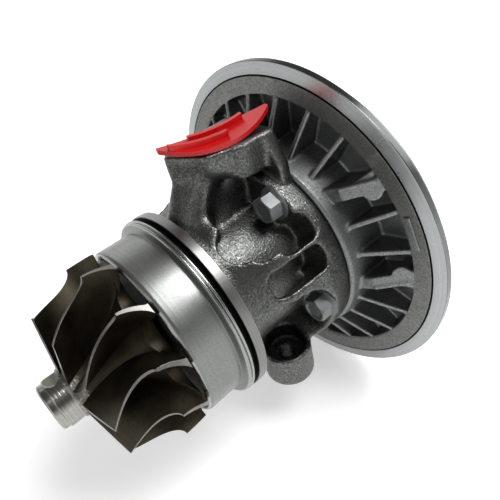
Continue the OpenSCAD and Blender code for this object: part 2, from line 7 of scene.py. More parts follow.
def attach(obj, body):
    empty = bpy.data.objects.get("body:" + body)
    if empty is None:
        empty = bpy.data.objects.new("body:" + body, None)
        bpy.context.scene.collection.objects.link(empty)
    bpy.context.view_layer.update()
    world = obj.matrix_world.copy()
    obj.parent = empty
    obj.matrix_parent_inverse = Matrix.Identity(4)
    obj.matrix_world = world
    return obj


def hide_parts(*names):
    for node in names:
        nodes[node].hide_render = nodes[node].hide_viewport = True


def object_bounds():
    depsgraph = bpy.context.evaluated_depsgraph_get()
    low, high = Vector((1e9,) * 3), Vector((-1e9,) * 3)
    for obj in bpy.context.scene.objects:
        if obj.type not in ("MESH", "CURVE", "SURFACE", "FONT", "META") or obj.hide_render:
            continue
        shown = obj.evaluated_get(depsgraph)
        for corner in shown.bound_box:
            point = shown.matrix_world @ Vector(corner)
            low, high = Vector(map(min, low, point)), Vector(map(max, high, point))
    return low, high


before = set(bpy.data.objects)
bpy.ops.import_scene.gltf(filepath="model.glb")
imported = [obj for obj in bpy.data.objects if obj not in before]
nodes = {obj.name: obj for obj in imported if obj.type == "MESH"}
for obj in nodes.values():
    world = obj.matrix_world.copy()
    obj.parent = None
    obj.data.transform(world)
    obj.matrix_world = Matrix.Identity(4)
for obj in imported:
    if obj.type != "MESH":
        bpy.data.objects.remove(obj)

cad_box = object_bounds()

MM = 0.001
FULL_TURN = 2 * np.pi
MERGE_WITHIN, NO_LENGTH = 1e-7, 1e-8
MOST_TRIANGLES = 190000
HALF_WAY = 0.5
BEVEL_FROM = 40
# most values of a cloud pattern lie in this range
MIDDLE = (0.3, 0.7)


def lattice(rows, cols, wrap_rows=False, wrap_cols=False):
    """Quads of a grid of rows x cols points, numbered row by row; a wrapped direction joins its last line
    to its first."""
    i = np.arange(rows if wrap_rows else rows - 1)[:, None]
    j = np.arange(cols if wrap_cols else cols - 1)[None, :]
    a = i * cols + j
    b = i * cols + (j + 1) % cols
    c = (i + 1) % rows * cols + (j + 1) % cols
    d = (i + 1) % rows * cols + j
    return np.stack(np.broadcast_arrays(a, b, c, d), -1).reshape(-1, 4)


def around(x, r, angle):
    """Points at station x, radius r and an angle in radians from the oil inlet, turning towards -Y."""
    x, r, angle = np.broadcast_arrays(x, r, angle)
    return np.stack([x, -r * np.sin(angle), r * np.cos(angle)], -1)


def rays(count):
    """Angles of a number of rays, evenly spread over a full turn."""
    return np.linspace(0, FULL_TURN, count, endpoint=False)


def eased(profile, radius, closed=True):
    """An outline whose corners are replaced by parabolic arcs that start radius away from each corner,
    with one more point before and after each arc that keeps the flats flat. On a short side both take no
    more than a share of it. An open outline keeps its two ends."""
    steps, arc_share, flat_share, flat_reach = 5, 0.4, 0.46, 1.5
    p = np.asarray(profile, float)
    back, ahead = np.roll(p, 1, 0) - p, np.roll(p, -1, 0) - p
    lb = np.linalg.norm(back, axis=1, keepdims=True)
    la = np.linalg.norm(ahead, axis=1, keepdims=True)
    start = p + back / lb * np.minimum(radius, arc_share * lb)
    stop = p + ahead / la * np.minimum(radius, arc_share * la)
    before = p + back / lb * np.minimum(flat_reach * radius, flat_share * lb)
    after = p + ahead / la * np.minimum(flat_reach * radius, flat_share * la)
    t = np.linspace(0, 1, steps)[None, :, None]
    arcs = (1 - t) ** 2 * start[:, None] + 2 * t * (1 - t) * p[:, None] + t ** 2 * stop[:, None]
    corners = np.concatenate([before[:, None], arcs, after[:, None]], 1)
    if closed:
        return corners.reshape(-1, 2)
    return np.concatenate([p[:1], corners[1:-1].reshape(-1, 2), p[-1:]])


def refined(outline, step):
    """An open outline with more points, so that none of its sides is longer than a step."""
    side = np.linalg.norm(np.diff(outline, axis=0), axis=1)
    count = np.maximum(1, np.ceil(side / step)).astype(int)
    start = np.repeat(np.arange(len(side)), count)
    share = np.concatenate([np.arange(n) / n for n in count])
    inner = outline[start] + share[:, None] * (outline[start + 1] - outline[start])
    return np.concatenate([inner, outline[-1:]])


def turned(profile, segments, zone=None, closed=True):
    """An outline of points (x, radius), closed or from axis to axis, carried once round the rotor axis.
    zone(x, radius) gives the number of the finish at the middle of each side of the outline."""
    p = np.asarray(profile, float)
    points = around(p[:, :1], p[:, 1:], rays(segments)[None, :]).reshape(-1, 3)
    middle = (p + np.roll(p, -1, 0)) / 2
    number = np.zeros(len(p), int) if zone is None else zone(middle[:, 0], middle[:, 1])
    sides = len(p) if closed else len(p) - 1
    return points, lattice(len(p), segments, closed, True), np.repeat(number[:sides], segments)


def slab(front, back):
    """A closed sheet between two grids of the same shape: both faces and the four edges that join them.
    The third result is 0 on the faces, 1 on the first and last row's edges and 2 on the first and last
    column's."""
    rows, cols = front.shape[:2]
    n = rows * cols
    face = lattice(rows, cols)
    grid = np.arange(n).reshape(rows, cols)
    strips = []
    for line, flip in ((grid[0], 0), (grid[-1], 1), (grid[:, 0], 1), (grid[:, -1], 0)):
        strip = np.stack([line[:-1], line[1:], line[1:] + n, line[:-1] + n], -1)
        strips.append(strip[:, ::-1] if flip else strip)
    kind = [np.zeros(2 * len(face)), np.ones(2 * (cols - 1)), np.full(2 * (rows - 1), 2)]
    points = np.concatenate([front.reshape(-1, 3), back.reshape(-1, 3)])
    return points, np.concatenate([face[:, ::-1], face + n, *strips]), np.concatenate(kind).astype(int)


def plain(points, quads):
    """A shape with the same finish all over."""
    return points.reshape(-1, 3), quads, np.zeros(len(quads), int)


def joined(shapes):
    """Several (points, quads, finish numbers) shapes as one."""
    sizes = np.cumsum([0] + [len(s[0]) for s in shapes[:-1]])
    points = np.concatenate([s[0] for s in shapes])
    quads = np.concatenate([s[1] + first for s, first in zip(shapes, sizes)])
    return points, quads, np.concatenate([s[2] for s in shapes])


def spun(shape, angle):
    """A shape turned about the rotor axis by an angle in radians."""
    c, s = np.cos(angle), np.sin(angle)
    turn = np.array([[1, 0, 0], [0, c, -s], [0, s, c]])
    return (shape[0] @ turn.T, *shape[1:])


def piece(name, body, shape, finishes, sharp, stands_for=()):
    """A mesh piece, given in millimetres, that rides on a body. Seams and poles are merged, and faces
    turned outwards."""
    points, quads, numbers = shape
    mesh = bpy.data.meshes.new(name)
    mesh.from_pydata((points * MM).tolist(), [], quads.tolist())
    mesh.polygons.foreach_set("material_index", numbers.astype(np.int32))
    bm = bmesh.new()
    bm.from_mesh(mesh)
    bmesh.ops.remove_doubles(bm, verts=bm.verts, dist=MERGE_WITHIN)
    bmesh.ops.dissolve_degenerate(bm, edges=bm.edges, dist=NO_LENGTH)
    bmesh.ops.recalc_face_normals(bm, faces=bm.faces)
    bm.to_mesh(mesh)
    bm.free()
    return shown(name, body, mesh, finishes, sharp, stands_for)


def shown(name, body, mesh, finishes, sharp, stands_for=()):
    """The object of a finished mesh, smooth except along edges sharper than an angle in degrees."""
    mesh.polygons.foreach_set("use_smooth", np.ones(len(mesh.polygons), bool))
    mesh.set_sharp_from_angle(angle=np.radians(sharp))
    obj = bpy.data.objects.new(name, mesh)
    bpy.context.scene.collection.objects.link(obj)
    for finish in finishes:
        mesh.materials.append(finish)
    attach(obj, body)
    if stands_for:
        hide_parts(*stands_for)
    return obj


def bevel(obj, width, segments=2):
    """A narrow rounding, in millimetres, along the edges of a piece that are sharper than BEVEL_FROM
    degrees."""
    edge = obj.modifiers.new("edge", "BEVEL")
    edge.width, edge.segments, edge.limit_method = width * MM, segments, "ANGLE"
    edge.angle_limit, edge.harden_normals = np.radians(BEVEL_FROM), True


def remade(mesh, kind, **settings):
    """A mesh as one modifier leaves it."""
    obj = bpy.data.objects.new(mesh.name, mesh)
    bpy.context.scene.collection.objects.link(obj)
    step = obj.modifiers.new("step", kind)
    for key, value in settings.items():
        setattr(step, key, value)
    done = bpy.data.meshes.new_from_object(obj.evaluated_get(bpy.context.evaluated_depsgraph_get()))
    bpy.data.objects.remove(obj)
    return done


def points_of(mesh):
    """The points of a mesh, in metres."""
    points = np.zeros(3 * len(mesh.vertices))
    mesh.vertices.foreach_get("co", points)
    return points.reshape(-1, 3)


def smooth(mesh, rounds, melts):
    """Each point of a mesh goes half way to the mean of its neighbours, a number of times. Each of melts,
    which is a centre and a reach in millimetres and a number of rounds, does the same again around one
    place, and less in the outer half of its reach."""
    points = points_of(mesh)
    edges = np.zeros(2 * len(mesh.edges), int)
    mesh.edges.foreach_get("vertices", edges)
    a, b = edges.reshape(-1, 2).T
    near, far = np.concatenate([a, b]), np.concatenate([b, a])
    degree = np.bincount(near, minlength=len(points))[:, None]

    def pulled(share):
        """The points after a share of the way to the means of their neighbours."""
        total = np.stack([np.bincount(near, points[far, k], len(points)) for k in range(3)], -1)
        return points + share * (total / degree - points)

    for _ in range(rounds):
        points = pulled(HALF_WAY)
    for centre, reach, extra in melts:
        nearness = 1 - np.linalg.norm(points / MM - np.array(centre), axis=1) / reach
        share = HALF_WAY * np.clip(2 * nearness, 0, 1)[:, None]
        for _ in range(extra):
            points = pulled(share)
    mesh.vertices.foreach_set("co", points.ravel())


def cut_flat(mesh, station, side):
    """A flat cut across the rotor axis at a station in millimetres. What lies towards side, 1 or -1, is
    kept, and the cut is closed."""
    bm = bmesh.new()
    bm.from_mesh(mesh)
    parts = bm.verts[:] + bm.edges[:] + bm.faces[:]
    sliced = bmesh.ops.bisect_plane(bm, geom=parts, plane_co=(station * MM, 0, 0), plane_no=(side, 0, 0),
                                    clear_inner=True)
    rim = [item for item in sliced["geom_cut"] if isinstance(item, bmesh.types.BMEdge)]
    bmesh.ops.triangle_fill(bm, edges=rim, use_beauty=True)
    bmesh.ops.triangulate(bm, faces=bm.faces)
    bmesh.ops.recalc_face_normals(bm, faces=bm.faces)
    bm.to_mesh(mesh)
    bm.free()


def cast_copy(name, node, voxel, rounds, trim, cut, melts=()):
    """A casting with soft edges from a CAD solid. trim moves the solid's points to the limits of the
    casting, an even remesh follows, and then smoothing, which rounds the corners and fills the inner
    edges. The casting is cut flat, and thinned where it has too many faces."""
    mesh = nodes[node].data.copy()
    bm = bmesh.new()
    bm.from_mesh(mesh)
    bmesh.ops.remove_doubles(bm, verts=bm.verts, dist=MERGE_WITHIN)
    bm.to_mesh(mesh)
    bm.free()
    mesh.vertices.foreach_set("co", trim(points_of(mesh) / MM).ravel() * MM)
    done = remade(mesh, "REMESH", mode="VOXEL", voxel_size=voxel * MM, adaptivity=0)
    smooth(done, rounds, melts)
    cut_flat(done, *cut)
    done = remade(done, "DECIMATE", ratio=min(1, MOST_TRIANGLES / len(done.polygons)))
    done.name = name
    done.materials.clear()
    return done


def face_centres(mesh):
    """Centres in millimetres and normals of a mesh's faces."""
    centre, normal = np.zeros(3 * len(mesh.polygons)), np.zeros(3 * len(mesh.polygons))
    mesh.polygons.foreach_get("center", centre)
    mesh.polygons.foreach_get("normal", normal)
    return centre.reshape(-1, 3) / MM, normal.reshape(-1, 3)


def feed(tree, value, target):
    """Links a socket to a shader node's input, or sets the input to a value."""
    if isinstance(value, bpy.types.NodeSocket):
        tree.links.new(value, target)
    else:
        target.default_value = value


def add(tree, kind, **values):
    """A shader node: a key that names one of its inputs is linked or set there, any other is a property."""
    made = tree.nodes.new(kind)
    for key, value in values.items():
        target = made.inputs.get(key)
        if target is None:
            setattr(made, key, value)
        else:
            feed(tree, value, target)
    return made


def combined(tree, operation, first, second):
    """Two values, sockets or numbers, put together by an operation."""
    made = add(tree, "ShaderNodeMath", operation=operation)
    for value, target in zip((first, second), made.inputs):
        feed(tree, value, target)
    return made.outputs[0]


def blank_finish(name, color, metallic, roughness):
    """A material with one shader, and the place on the object that its patterns follow."""
    material = bpy.data.materials.new(name)
    material.use_nodes = True
    tree = material.node_tree
    shader = tree.nodes["Principled BSDF"]
    shader.inputs["Base Color"].default_value = (*color, 1)
    shader.inputs["Metallic"].default_value = metallic
    shader.inputs["Roughness"].default_value = roughness
    return material, tree, shader, add(tree, "ShaderNodeTexCoord").outputs["Object"]


def noise(tree, place, size, detail, rough=0.5):
    """A cloud pattern whose features are about size millimetres across."""
    scale = 1 / (size * MM)
    made = add(tree, "ShaderNodeTexNoise", Vector=place, Scale=scale, Detail=detail, Roughness=rough)
    return made.outputs["Fac"]


def ranged(tree, value, low, high, to_low=0.0, to_high=1.0):
    """A value carried from one range to another and kept within it."""
    made = add(tree, "ShaderNodeMapRange", Value=value)
    for key, number in (("From Min", low), ("From Max", high), ("To Min", to_low), ("To Max", to_high)):
        made.inputs[key].default_value = number
    return made.outputs["Result"]


def summed(tree, *parts):
    """Patterns added up. Each part is a pattern, the range it is stretched from, and its share of the
    sum."""
    total, *others = [ranged(tree, pattern, *span, 0, share) for pattern, span, share in parts]
    for other in others:
        total = combined(tree, "ADD", total, other)
    return total


def shades(tree, value, low, high):
    """A colour between low and high, by a value between 0 and 1."""
    ramp = add(tree, "ShaderNodeValToRGB", Fac=value)
    ramp.color_ramp.elements[0].color, ramp.color_ramp.elements[1].color = (*low, 1), (*high, 1)
    return ramp.outputs["Color"]


def mixed(tree, share, pattern, color):
    """A colour pattern mixed with one colour, by a share between 0 and 1."""
    factor, first, second, result = 0, 6, 7, 2
    made = add(tree, "ShaderNodeMix", data_type="RGBA")
    feed(tree, share, made.inputs[factor])
    feed(tree, pattern, made.inputs[first])
    feed(tree, (*color, 1), made.inputs[second])
    return made.outputs[result]


def raised(tree, shader, height, depth, strength=1.0):
    """Relief of a depth in millimetres."""
    bump = add(tree, "ShaderNodeBump", Strength=strength, Distance=depth * MM, Height=height)
    tree.links.new(bump.outputs["Normal"], shader.inputs["Normal"])


def glossed(tree, shader, pattern, low, high):
    """Roughness that a pattern carries from low to high."""
    tree.links.new(ranged(tree, pattern, *MIDDLE, low, high), shader.inputs["Roughness"])


def cast_finish(name, low, high, worn, metallic, roughness, grain, depth):
    """Sand-cast metal: grains of a size and depth in millimetres that differ in shade and gloss, slow
    blotches, and outer edges rubbed bright."""
    blotch_size, cell_scale, cell_height = 14, 1.3, 0.6
    edge_range, shade_range, rub_range = (0.50, 0.60), (0.36, 0.64), (0.35, 0.65)
    material, tree, shader, place = blank_finish(name, high, metallic, roughness)
    grains = noise(tree, place, grain, 3.0, 0.6)
    scale = cell_scale / (grain * MM)
    cells = add(tree, "ShaderNodeTexVoronoi", Vector=place, Scale=scale).outputs["Distance"]
    blotch = noise(tree, place, blotch_size, 3.0)
    color = shades(tree, summed(tree, (grains, shade_range, 0.75), (blotch, MIDDLE, 0.25)), low, high)
    edges = ranged(tree, add(tree, "ShaderNodeNewGeometry").outputs["Pointiness"], *edge_range)
    rubbed = combined(tree, "MULTIPLY", edges, ranged(tree, grains, *rub_range, 0.1, 1))
    tree.links.new(mixed(tree, rubbed, color, worn), shader.inputs["Base Color"])
    relief = combined(tree, "ADD", grains, combined(tree, "MULTIPLY", cells, cell_height))
    raised(tree, shader, relief, depth)
    glossed(tree, shader, grains, roughness + 0.12, roughness - 0.14)
    return material


def ring_marks(tree, place, pitch):
    """Tool marks: a pattern that changes only with the distance from the rotor axis and along it."""
    parts = add(tree, "ShaderNodeSeparateXYZ", Vector=place).outputs
    squares = [combined(tree, "POWER", parts[axis], 2.0) for axis in ("Y", "Z")]
    across = combined(tree, "POWER", combined(tree, "ADD", *squares), 0.5)
    line = add(tree, "ShaderNodeCombineXYZ", X=across, Y=parts["X"]).outputs["Vector"]
    return noise(tree, line, pitch, 2.0)


def turned_finish(name, low, high, roughness, pitch, depth):
    """Turned metal: rings about the rotor axis in shade and height, fine ones at a pitch in millimetres
    and wide bands, over stains that change the gloss."""
    stain_size, band_pitch, stain_range, strength = 9, 12 * pitch, (0.35, 0.7), 0.6
    material, tree, shader, place = blank_finish(name, high, 1.0, roughness)
    marks = ring_marks(tree, place, pitch)
    stain = noise(tree, place, stain_size, 4.0, 0.6)
    bands = ring_marks(tree, place, band_pitch)
    tone = summed(tree, (marks, MIDDLE, 0.5), (bands, MIDDLE, 0.35), (stain, stain_range, 0.15))
    tree.links.new(shades(tree, tone, low, high), shader.inputs["Base Color"])
    raised(tree, shader, marks, depth, strength)
    glossed(tree, shader, stain, roughness - 0.03, roughness + 0.05)
    return material


def sheet_finish(name, low, high, roughness):
    """Rolled sheet: fine even speckle, faint rings from forming, and slow stains in the gloss."""
    speckle_size, ring_pitch, stain_size, depth, strength = 0.55, 1.6, 16, 0.03, 0.5
    material, tree, shader, place = blank_finish(name, high, 1.0, roughness)
    speckle = noise(tree, place, speckle_size, 2.0)
    rings = ring_marks(tree, place, ring_pitch)
    stain = noise(tree, place, stain_size, 3.0)
    tone = summed(tree, (speckle, MIDDLE, 0.6), (rings, MIDDLE, 0.4))
    tree.links.new(shades(tree, tone, low, high), shader.inputs["Base Color"])
    raised(tree, shader, combined(tree, "ADD", speckle, rings), depth, strength)
    glossed(tree, shader, stain, roughness - 0.05, roughness + 0.08)
    return material


def smooth_finish(name, low, high, metallic, roughness, size, depth):
    """Smooth metal, plastic or rubber: a slow drift in shade, fine unevenness of a size and depth in
    millimetres, and small changes in gloss."""
    drift_size, strength = 11 * size, 0.5
    material, tree, shader, place = blank_finish(name, high, metallic, roughness)
    fine = noise(tree, place, size, 3.0)
    drift = noise(tree, place, drift_size, 3.0)
    tone = summed(tree, (fine, MIDDLE, 0.35), (drift, MIDDLE, 0.65))
    tree.links.new(shades(tree, tone, low, high), shader.inputs["Base Color"])
    raised(tree, shader, fine, depth, strength)
    glossed(tree, shader, drift, roughness - 0.04, roughness + 0.07)
    return material


CAST_IRON = cast_finish("cast_iron", (0.044, 0.046, 0.043), (0.155, 0.159, 0.152), worn=(0.22, 0.22, 0.21),
                        metallic=1.0, roughness=0.36, grain=1.0, depth=0.17)
CAST_ALUMINIUM = cast_finish("cast_aluminium", (0.14, 0.144, 0.142), (0.235, 0.24, 0.238),
                             worn=(0.36, 0.36, 0.36), metallic=1.0, roughness=0.48, grain=0.8, depth=0.08)
RING_FACE = cast_finish("ring_face", (0.13, 0.134, 0.126), (0.225, 0.23, 0.216), worn=(0.28, 0.28, 0.27),
                        metallic=1.0, roughness=0.52, grain=0.9, depth=0.05)
HUB_END = cast_finish("hub_end", (0.08, 0.075, 0.064), (0.32, 0.305, 0.27), worn=(0.38, 0.365, 0.33),
                      metallic=0.8, roughness=0.34, grain=1.4, depth=0.16)
TURNED_ALUMINIUM = turned_finish("turned_aluminium", (0.24, 0.248, 0.25), (0.36, 0.37, 0.372),
                                 roughness=0.27, pitch=0.6, depth=0.012)
# A lighter copy of the turned aluminium on the rim's land: painted highlight.
RIM_LAND_PAINTED_LIGHT = turned_finish("rim_land_painted_light", (0.29, 0.302, 0.304), (0.42, 0.434, 0.436),
                         roughness=0.28, pitch=0.25, depth=0.008)
# A darker copy of the turned aluminium on the rim's outer edge: painted shade.
RIM_EDGE_PAINTED_SHADE = turned_finish("rim_edge_painted_shade", (0.10, 0.107, 0.105), (0.19, 0.20, 0.196),
                         roughness=0.20, pitch=0.25, depth=0.006)
TURNED_IRON = turned_finish("turned_iron", (0.14, 0.14, 0.136), (0.26, 0.26, 0.252),
                            roughness=0.32, pitch=0.3, depth=0.012)
TURNED_STEEL = turned_finish("turned_steel", (0.22, 0.215, 0.20), (0.42, 0.41, 0.39),
                             roughness=0.3, pitch=0.5, depth=0.03)
NOSE_STEEL = turned_finish("nose_steel", (0.14, 0.137, 0.122), (0.50, 0.49, 0.455),
                           roughness=0.20, pitch=0.6, depth=0.12)
# Near-black painted shade for the narrow grooves: behind the shield's lip and between the back plate's ring
# and land.
GROOVE_PAINTED_SHADE = turned_finish("groove_painted_shade", (0.006, 0.006, 0.006), (0.015, 0.015, 0.015),
                            roughness=0.6, pitch=0.4, depth=0.02)
SHIELD_SHEET = sheet_finish("shield_sheet", (0.165, 0.171, 0.165), (0.255, 0.262, 0.253), roughness=0.36)
# A glossier copy of the shield's sheet for its beads and front edge; its lower roughness is real, its lighter
# colour is painted highlight.
SHIELD_BEAD_PAINTED_HIGHLIGHT = sheet_finish("shield_bead_painted_highlight", (0.24, 0.248, 0.24), (0.36, 0.37, 0.358), roughness=0.22)
BALANCE_CUT = smooth_finish("balance_cut", (0.10, 0.12, 0.08), (0.17, 0.19, 0.14),
                            metallic=1.0, roughness=0.4, size=0.6, depth=0.03)
TURBINE_CAST = smooth_finish("turbine_cast", (0.032, 0.027, 0.0175), (0.076, 0.064, 0.045),
                             metallic=1.0, roughness=0.46, size=1.1, depth=0.05)
GROUND_EDGE = smooth_finish("ground_edge", (0.13, 0.128, 0.118), (0.24, 0.237, 0.222),
                            metallic=1.0, roughness=0.36, size=0.7, depth=0.02)
GROUND_STEEL = smooth_finish("ground_steel", (0.48, 0.48, 0.48), (0.62, 0.62, 0.62),
                             metallic=1.0, roughness=0.24, size=0.6, depth=0.01)
ZINC = smooth_finish("zinc_plate", (0.11, 0.115, 0.118), (0.19, 0.197, 0.201),
                     metallic=0.55, roughness=0.38, size=0.9, depth=0.02)
BRONZE = smooth_finish("bearing_bronze", (0.52, 0.34, 0.14), (0.70, 0.50, 0.26),
                       metallic=1.0, roughness=0.3, size=0.7, depth=0.01)
RUBBER = smooth_finish("seal_rubber", (0.012, 0.012, 0.012), (0.035, 0.035, 0.035),
                       metallic=0.0, roughness=0.55, size=0.5, depth=0.02)
MILLED = smooth_finish("milled_aluminium", (0.30, 0.305, 0.31), (0.44, 0.448, 0.455),
                       metallic=1.0, roughness=0.30, size=0.8, depth=0.012)
RED_CAP = smooth_finish("red_cap", (0.44, 0.001, 0.002), (0.57, 0.002, 0.003),
                        metallic=0.0, roughness=0.36, size=2.2, depth=0.06)


def flow(p0, p1, f):
    """Quarter ellipse of a wheel's flow path, radial at p0 where f is 0 and axial at p1 where f is 1, as
    (x, radius)."""
    a = np.pi / 2 * f
    return p1[0] + (p0[0] - p1[0]) * np.cos(a), p0[1] + (p1[1] - p0[1]) * np.sin(a)


def blade(root, tip, root_t, tip_t, wrap, flare, reach=1.0):
    """A blade between a root path and a tip path: straight lines across, turned by wrap(x, radius) in
    degrees, its thickness falling from root to tip and flaring into the hub."""
    along, across, crowding, flare_share = 52, 20, 1.3, 0.075
    f = np.linspace(0, reach, along)[:, None]
    j = np.linspace(0, 1, across)[None, :] ** crowding
    rx, rr = flow(*root, f)
    tx, tr = flow(*tip, f)
    x, r = rx + (tx - rx) * j, rr + (tr - rr) * j
    half = (root_t + (tip_t - root_t) * j + flare * np.exp(-j / flare_share)) / 2 / r
    a = np.radians(wrap(x, r))
    points, quads, kind = slab(around(x, r, a + half), around(x, r, a - half))
    return points, quads, np.minimum(kind, 1)


def turbine_wheel():
    """Eleven blades on a hub whose back disc is scalloped between them. On each ray from the axis the hub
    is one line: the back face, the scallop's wall, the flow path up to the nose and the flat end under
    the nose."""
    count, phase, sweep = 11, np.radians(-3.2), 20.0
    tip_r, exit_r, inlet_w, back_x, length = 47.0, 38.0, 12.5, -26.6, 36.0
    root_t, tip_t, flare = 3.4, 1.35, 2.4
    rays_each, path_steps, wall_steps, bare_l = 48, 50, 4, 5.5
    out_x = back_x - length
    end_x, end_r, vertex_x = out_x - 4.5, 12.8, back_x - 0.387 * length
    disc_r, disc_t, scallop_c = tip_r - 3, 2, 0.86 * tip_r
    scallop_r = scallop_c * np.sin(np.pi / count) - 1.14
    scallop_lead = np.radians(sweep * 0.3)
    angle = rays(count * rays_each)
    one = np.ones((1, len(angle)))
    off = (angle - scallop_lead) % (FULL_TURN / count) - np.pi / count
    inside = np.clip(scallop_r ** 2 - (scallop_c * np.sin(off)) ** 2, 0, None)
    cut = np.minimum(scallop_c * np.cos(off) - np.sqrt(inside), disc_r)
    rim = np.where(inside > 0, cut, disc_r)[None, :]
    f_rim = 2 / np.pi * np.arcsin(np.clip((disc_r - rim) / (disc_r - end_r), 0, 1))
    s = np.linspace(0, 1, path_steps)[:, None]
    path_x, path_r = flow((back_x - disc_t, disc_r), (end_x, end_r), f_rim + (1 - f_rim) * s)
    path_r[0] -= 0.15
    back = np.array([(-8, 0), (-8, 12.8), (-8.2, 13), (-13.8, 13), (-14, 12.8), (-14, 11), (-11.8, 11),
                     (-11.8, 12.8), (-11.6, 13), (back_x + 2.5, 13), (back_x + 0.7, 13.8), (back_x, 15.5)])
    wall = np.linspace(0, 1, wall_steps + 1)[1:, None]
    wall_x = back_x + 0.25 + (path_x[:1] - back_x - 0.5) * wall
    front = np.array([(end_x - 0.5, end_r - 0.35), (end_x - 0.8, end_r - 1.5), (end_x - 0.8, 0)])
    x = np.concatenate([back[:, :1] * one, back_x * one, wall_x, path_x, front[:, :1] * one])
    wall_r = rim * np.ones((wall_steps, 1))
    r = np.concatenate([back[:, 1:] * one, rim - 0.3, wall_r, path_r, front[:, 1:] * one])
    hub = around(x, r, angle[None, :] + phase).reshape(-1, 3)
    quads = lattice(len(x), len(angle), False, True)
    bare = (hub[quads, 0].mean(1) < end_x + bare_l).astype(int)
    piece("turbine_hub", "rotor", (hub, quads, bare), [TURBINE_CAST, HUB_END], 40,
          ["turbine_wheel"])

    def wrap(x, r):
        """Degrees that grow with the square of the distance from the vertex along the axis."""
        return sweep * ((x - vertex_x) / (out_x - vertex_x)) ** 2

    root = ((back_x - 0.1, tip_r), (end_x + 0.4, end_r - 1.5))
    tip = ((back_x - inlet_w, tip_r), (out_x, exit_r))
    vane = blade(root, tip, root_t, tip_t, wrap, flare)
    vanes = joined([spun(vane, phase + k * FULL_TURN / count) for k in range(count)])
    blades = piece("turbine_blades", "rotor", vanes, [TURBINE_CAST, GROUND_EDGE], 40)
    bevel(blades, 0.22)
    nose(end_x)


def nose(end_x):
    """The turned nose at the end of the hub, stepped at its front, with a shallow hollow ground into one
    side to balance the wheel: there the radius is held to a hollow's distance over the cosine of the
    angle from it."""
    tip_x, small_r, full_r = end_x - 10.6, 11.3, 12.0
    hollow_x, hollow_at, hollow_l, deep_r = tip_x + 7.0, np.radians(-14), 3.6, 10.7
    least_cosine = 0.2
    outline = eased([(tip_x + 0.5, 0), (tip_x + 0.5, 3.6), (tip_x, 4.4), (tip_x, 10.5),
                     (tip_x + 0.8, small_r), (tip_x + 3.1, small_r), (tip_x + 3.3, full_r),
                     (end_x - 0.7, full_r), (end_x - 0.1, 12.5), (end_x + 1.5, 12.5), (end_x + 1.5, 0)],
                    0.25, closed=False)
    points, quads, kind = turned(refined(outline, 0.35), 200, closed=False)
    off = np.arctan2(-points[:, 1], points[:, 2]) - hollow_at
    depth = deep_r + (full_r - deep_r) * ((points[:, 0] - hollow_x) / hollow_l) ** 2
    limit = depth / np.maximum(np.cos(off), least_cosine)
    r = np.hypot(points[:, 1], points[:, 2])
    ground = (r > limit) & (r > small_r + 0.1)
    points[:, 1:] *= np.where(ground, limit / np.maximum(r, 1e-6), 1)[:, None]
    kind = np.where(ground[quads].all(1), 1, kind)
    piece("turbine_nose", "rotor", (points, quads, kind), [NOSE_STEEL, BALANCE_CUT], 40)


def compressor_wheel():
    """Six full and six short blades on a turned hub, from the same kind of flow path as the turbine's."""
    wheel_x, length, tip_r, eye_r, hub_r, bore_r = 84.5, 39.0, 49.0, 34.5, 10.5, 6.05
    count, root_t, tip_t, flare, short_reach = 6, 2.0, 0.9, 1.6, 0.7
    wrap_turn, lean_turn, lean_from, lean_l = 40, 22, 28, 21
    disc_x = wheel_x + 0.7
    front_x, end_x = disc_x + 2.8, wheel_x + length
    path = flow((front_x, tip_r), (end_x - 3, hub_r), np.linspace(0, 1, 44))
    back = [(end_x, bore_r), (wheel_x, bore_r), (wheel_x, 12), (disc_x, 14), (disc_x, tip_r - 0.2),
            (disc_x + 0.2, tip_r)]
    front = [(end_x - 0.3, hub_r), (end_x, hub_r - 0.3)]
    hub = turned(np.concatenate([back, np.stack(path, -1), front]), 240)
    piece("compressor_hub", "rotor", hub, [MILLED], 30, ["compressor_wheel"])

    def wrap(x, r):
        """Degrees that grow with the square of the distance along the axis, less a lean back near the
        tip."""
        lean = np.maximum(0, r - lean_from) / lean_l
        return wrap_turn * ((x - front_x) / length) ** 2 - lean_turn * lean ** 2

    root = ((front_x - 1, tip_r - 0.1), (end_x - 6, hub_r - 1.5))
    tip = ((front_x + 6, tip_r - 0.1), (end_x - 7, eye_r))
    full = blade(root, tip, root_t, tip_t, wrap, flare)
    short = blade(root, tip, root_t, tip_t, wrap, flare, short_reach)
    step = FULL_TURN / count
    vanes = [spun(full, k * step) for k in range(count)]
    vanes += [spun(short, (k + 0.5) * step) for k in range(count)]
    blades = piece("compressor_blades", "rotor", joined(vanes), [MILLED, MILLED], 40)
    bevel(blades, 0.12)


